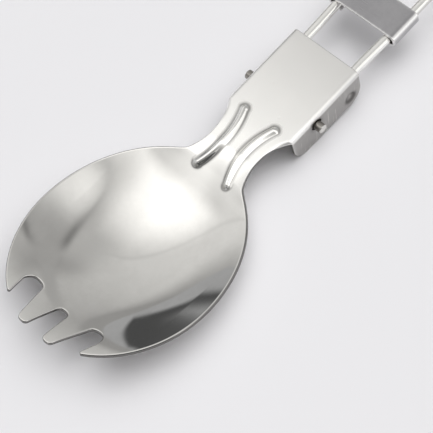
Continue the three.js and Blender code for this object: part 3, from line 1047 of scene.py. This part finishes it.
def wire_finish():
    """Drawn wire: lines along its length, from its own pattern coordinates, duller clouds, and painted shade
    on the pins, less at their ends.
    """
    material, tree, shader = steel("drawn_wire")
    place, wire_place = places(tree)
    clouds = grouped(tree, polish_clouds, Vector=place, Scale=320.0, Polished=0.18, Dull=0.23)
    drawn = grouped(tree, hairlines, Vector=wire_place, Angle=0.0, Fineness=6500.0, Length=60.0,
                    Amount=0.8)["Lines"]
    wear = grouped(tree, edge_wear, Vector=place, Reach=0.8)["Mask"]
    rough = clouds["Roughness"] + line_rough * drawn + end_rough * wear
    aside = abs(parts(tree, place)[1]) / MM
    # Painted shade on the pins, less at their ends.
    pin = coated(pin_shade_grey, (ramp(aside, pin_end - pin_round, pin_end), pin_end_shade_grey))
    colour = coated(wire_bright, (clouds["Mask"], wire_dull), (drawn, wire_streak),
                    (ramp(aside, half_bridge - sheet, half_bridge), pin))
    finish(tree, shader, colour, rough, drawn, line_depth)
    return material


# %% Finish of the lock
# The lock is painted a dark grey, as shade.
lock_shade_grey, lock_shade_dull = (0.43, 0.425, 0.435), (0.36, 0.355, 0.365)
# The first colour is a painted highlight along the rolled sides; the second is wear at the cut edges.
roll_highlight_grey, lock_worn = (0.88, 0.87, 0.85), (0.95, 0.94, 0.93)
roll_highlight_share, roll_highlight_size_share = 0.6, 0.2
brush_rough = 0.08


def lock_finish():
    """Rougher sheet, painted darker as shade: broad clouds, fine lines along the strip, a painted highlight
    along the rolls and bright worn edges.
    """
    material, tree, shader = steel("satin_strip")
    place, strip = places(tree)
    clouds = grouped(tree, polish_clouds, Vector=place, Scale=140.0, Polished=0.16, Dull=0.26)
    brushed = grouped(tree, hairlines, Vector=strip, Angle=math.pi / 2, Fineness=5500.0, Length=90.0,
                      Amount=0.8)["Lines"]
    wear = grouped(tree, edge_wear, Vector=place, Reach=0.6)["Mask"]
    across = abs(parts(tree, strip)[1]) / MM
    # Painted highlight along each rolled side.
    roll_highlight = bell(across - (lock_flat + roll_highlight_share * lock_turn), roll_highlight_size_share * lock_turn)
    colour = coated(lock_shade_grey, (clouds["Mask"], lock_shade_dull), (roll_highlight, roll_highlight_grey), (wear, lock_worn))
    finish(tree, shader, colour, clouds["Roughness"] + brush_rough * brushed, brushed, line_depth)
    return material


for piece, material in ((head, head_finish()), (handle, wire_finish()), (lock, lock_finish())):
    piece.data.materials.append(material)
    print(piece.name, "is finished as", material.name)

# %% [markdown]
# ## Floor and light
# Polished metal shows its surroundings, so the light matters as much as the finish. Three things make it,
# and each is seen by its own kind of ray. The floor is lit by a soft round of light overhead, a little to
# one side, which gives the shadows. The steel mirrors a large white cloth close above it, which glows
# unevenly because a lamp stands behind one part of it, and past the cloth's edges a dark room with plain
# walls. The camera sees only the floor and a background of the same colour. Lamps alone would do for a
# matt object, but polished steel shows each of them as a small hard spot.

# %% Floor
pale_floor = (0.80, 0.793, 0.81, 1)
floor_reach = 6
floor_roughness, floor_sheen = 0.7, 0.2


def flat_patch(name, x_from, x_to, y_from, y_to, height):
    """A rectangle on one level that belongs to the stage, with its place in its mesh."""
    corners = [(x, y, height) for x, y in ((x_from, y_from), (x_to, y_from), (x_to, y_to), (x_from, y_to))]
    mesh = bpy.data.meshes.new(name)
    mesh.from_pydata(corners, [], [(0, 1, 2, 3)])
    patch = bpy.data.objects.new(name, mesh)
    bpy.context.scene.collection.objects.link(patch)
    return patch


floor = flat_patch("floor", -floor_reach, floor_reach, -floor_reach, floor_reach, 0)
floor_material = bpy.data.materials.new("pale_floor")
floor_material.use_nodes = True
floor_shader = floor_material.node_tree.nodes["Principled BSDF"]
floor_shader.inputs["Base Color"].default_value = pale_floor
floor_shader.inputs["Roughness"].default_value = floor_roughness
floor_shader.inputs["Specular IOR Level"].default_value = floor_sheen
floor.data.materials.append(floor_material)

# %% Glowing cloth above the spork, in metres
cloth_height = 0.15
cloth_left, cloth_right = -0.33, 0.44
cloth_near, cloth_far = -0.36, 0.44
cloth_white = (1.0, 0.995, 0.985, 1)
cloth = flat_patch("glowing_cloth", cloth_left, cloth_right, cloth_near, cloth_far, cloth_height)
cloth.visible_camera = False
cloth.visible_diffuse = False
cloth.visible_shadow = False
cloth_material = bpy.data.materials.new("glowing_cloth")
cloth_material.use_nodes = True
cloth_tree = cloth_material.node_tree
cloth_tree.nodes.clear()

# %% Upper piece of the cloth: its places in metres, and its strengths as seen in the steel
steel_share = 0.74
base_glow, fall_along_x, rise_along_y = 0.55, 0.7, 0.13
dimmest_glow = 0.27
far_fade, far_loss = (0.27, 0.45), 0.25
left_fade, left_loss = (-0.17, -0.11), 0.3
panel_glow, panel_lean = 0.45, 0.2
panel_left, panel_right = (-0.093, -0.073), (-0.0545, 0.0205)
panel_far = (0.1, 0.26)
upper_spots = (
    ((-0.09, 0.004), (0.06, 0.06), 0.0, 0.28),           # centre, sizes, turn and strength
    ((0.02, -0.015), (0.18, 0.04), 0.21, -0.12),
    ((0.12, 0.015), (0.035, 0.03), 0.6, -0.08),
)


def spot(tree, place, centre, sizes, turn):
    """A soft oval: the bell of the distance from its centre, on two turned axes with their own sizes."""
    unit = put(tree, "ShaderNodeMapping", {"vector_type": "TEXTURE"}, Vector=place,
               Location=(*centre, cloth_height), Rotation=(0, 0, turn), Scale=(*sizes, 1))
    far = put(tree, "ShaderNodeVectorMath", {"operation": "LENGTH"}, n0=unit.outputs[0])
    return bell(Amount(far, "Value"), 1.0)


def upper_glow(tree, place, x, y):
    """The upper piece: a base that falls along x and towards its far end and its left, a panel where the
    lamp stands behind it, and three soft spots, each strength * exp(-(distance / size)^2)."""
    base = base_glow - fall_along_x * x + rise_along_y * y
    base = base + eased(y, *far_fade, 0.0, -far_loss) + eased(x, *left_fade, -left_loss, 0.0)
    panel = eased(x + panel_lean * y, *panel_right, panel_glow, 0.0)
    panel = panel * eased(x, *panel_left) * eased(y, *panel_far, 1.0, 0.0)
    upper = base + panel
    for centre, sizes, turn, strength in upper_spots:
        upper = upper + strength * spot(tree, place, centre, sizes, turn)
    return larger(upper, dimmest_glow)


# %% Lower piece of the cloth, the seam between them, and the whole
seam_low, seam_place, seam_bend = -0.042, -0.032, 0.45
seam_soft = 0.0015
wide_seam, wide_seam_dark = 0.012, 0.35
thin_seam, thin_seam_dark = 0.003, (0.1, 0.5)
seam_turns_thin = (-0.01, 0.03)
thin_seam_ends, thin_seam_left_share = (0.06, 0.1), 0.1
lower_base, lower_lamp, lower_lamp_place, lower_lamp_size = 0.33, 0.88, -0.023, 0.036
near_end, near_glow, near_lean = (-0.085, -0.05), 0.5, 0.5
far_line_place, far_line_lean, far_line_size = 0.04, 0.5, 0.006
far_line_starts, far_line_depth = (0.0, 0.05), 0.09
dark_corner, corner_dark = ((-0.19, -0.19), (0.15, 0.15), 0.0), 0.95


def glow(tree):
    """How brightly the cloth glows, as seen in the steel.

    Below a curved seam, y = seam_low + (x - seam_place)^2 / seam_bend, hangs a second piece, bright near the
    lamp and at its near end. The seam is dark, wide on the left and thin on the right. A faint line runs
    over the upper piece, and the near left corner, where the camera stands, is dark.
    """
    place = put(tree, "ShaderNodeTexCoord").outputs["Object"]
    x, y = parts(tree, place)[:2]
    above = y - ((x - seam_place) * (x - seam_place) / seam_bend + seam_low)
    upper = upper_glow(tree, place, x, y)
    lower = lower_base + lower_lamp * bell(x - lower_lamp_place, lower_lamp_size)
    lower = lower + eased(y + near_lean * larger(x, 0.0), *near_end, near_glow, 0.0)
    both = lower + (upper - lower) * eased(above, -seam_soft, seam_soft)
    wide = bell(above, wide_seam) * eased(x, *seam_turns_thin, wide_seam_dark, 0.0)
    thin = bell(above, thin_seam) * eased(x, *seam_turns_thin, *thin_seam_dark)
    thin = thin * eased(x, *thin_seam_ends, 1.0, thin_seam_left_share)
    line = bell(x + far_line_lean * y - far_line_place, far_line_size)
    line = line * eased(y, *far_line_starts, 0.0, far_line_depth)
    corner = 1.0 - corner_dark * spot(tree, place, *dark_corner)
    return both * (1.0 - (wide + thin + line)) * corner / steel_share


cloth_light = put(cloth_tree, "ShaderNodeEmission", Color=cloth_white, Strength=glow(cloth_tree))
put(cloth_tree, "ShaderNodeOutputMaterial", Surface=cloth_light.outputs[0])
cloth.data.materials.append(cloth_material)

# %% Room that the steel mirrors past the cloth: east, north and height are parts of a ray's direction
room_white = (0.97, 0.98, 1.0, 1)
darkest_room = 0.085
far_wall_foot, far_wall_side, far_wall_way = (0.205, 0.235), (0.0, 0.4), (0.5, 0.85)
foot_drops_from, foot_drop = 0.6, 0.9
near_wall_glow, near_wall_side, near_wall_end = 0.8, (-0.6, -0.3), (-0.1, 0.1)
left_wall_glow, left_wall_side = 0.6, (0.7, 1.1)
strip_height, strip_height_size = 0.165, 0.02
strip_east, strip_east_size = 0.28, 0.12
strip_glow, strip_side = 0.3, (0.0, 0.5)


def room_glow(east, north, height):
    """How bright the room is in a direction: its brightest wall, and a low pale strip, on a dark base.

    The far wall starts at a low edge that comes down towards the east.
    """
    edge = height + foot_drop * larger(east - foot_drops_from, 0.0)
    to_far_wall = far_wall_way[0] * east + far_wall_way[1] * north
    far_wall = eased(to_far_wall, *far_wall_side) * eased(edge, *far_wall_foot)
    near_wall = eased(north, *near_wall_side, 1.0, 0.0) * eased(east, *near_wall_end)
    left_wall = eased(north - east, *left_wall_side, 0.0, left_wall_glow)
    strip = bell(height - strip_height, strip_height_size) * bell(east - strip_east, strip_east_size)
    strip = strip * eased(north, *strip_side, 0.0, strip_glow)
    far_side = larger(dimmest_glow / steel_share * far_wall, left_wall) + strip
    return larger(far_side, near_wall_glow / steel_share * near_wall) + darkest_room


# %% World: the room for the steel, light from overhead for the floor, and a pale background
lamp_tilt, lamp_turn = math.radians(15), math.radians(-22)
lamp_side = (
    math.sin(lamp_tilt) * math.cos(lamp_turn),
    math.sin(lamp_tilt) * math.sin(lamp_turn),
    math.cos(lamp_tilt),
)
overhead_power, overhead_strength = 5.0, 3.7

world = bpy.data.worlds.new("room")
bpy.context.scene.world = world
world.use_nodes = True
room_tree = world.node_tree
room_tree.nodes.clear()
light_path = put(room_tree, "ShaderNodeLightPath")
way = put(room_tree, "ShaderNodeTexCoord").outputs["Generated"]
room_light = room_glow(*parts(room_tree, way))
room = put(room_tree, "ShaderNodeBackground", Color=room_white, Strength=room_light)
to_lamp = put(room_tree, "ShaderNodeVectorMath", {"operation": "DOT_PRODUCT"}, n0=way, n1=lamp_side)
overhead_light = overhead_strength * larger(Amount(to_lamp, "Value"), 0.0) ** overhead_power
overhead = put(room_tree, "ShaderNodeBackground", Color=(1, 1, 1, 1), Strength=overhead_light)
background = put(room_tree, "ShaderNodeBackground", Color=pale_floor, Strength=1.0)
lit = put(room_tree, "ShaderNodeMixShader", n0=light_path.outputs["Is Glossy Ray"],
          n1=overhead.outputs[0], n2=room.outputs[0])
choice = put(room_tree, "ShaderNodeMixShader", n0=light_path.outputs["Is Camera Ray"],
             n1=lit.outputs[0], n2=background.outputs[0])
put(room_tree, "ShaderNodeOutputWorld", Surface=choice.outputs[0])

# %% [markdown]
# ## Camera
# The camera looks down at the spork from the front left, a little rolled, as a hand holds it. Its place is
# given the way a photographer would say it: the point it aims at, how far away it is, and three angles.

# %% Camera at the photograph's viewing angle
aim_point = Vector((-35.176, -8.969, 8.159)) * MM
camera_distance = 340.78 * MM
camera_turn = math.radians(33.77)
camera_elevation = math.radians(61.44)
camera_roll = math.radians(14.18)
focal_length = 133.03

camera = bpy.data.objects.new("camera", bpy.data.cameras.new("camera"))
bpy.context.scene.collection.objects.link(camera)
forward = Vector((
    math.sin(camera_turn) * math.cos(camera_elevation),
    math.cos(camera_turn) * math.cos(camera_elevation),
    -math.sin(camera_elevation),
))
camera.data.lens = focal_length
camera.data.clip_start, camera.data.clip_end = 0.01, 20
upright = forward.to_track_quat("-Z", "Y").to_matrix()
camera.matrix_world = (
    Matrix.Translation(aim_point - forward * camera_distance)
    @ (Matrix.Rotation(camera_roll, 3, forward) @ upright).to_4x4()
)
bpy.context.scene.camera = camera
bpy.context.scene.view_settings.view_transform = "Standard"
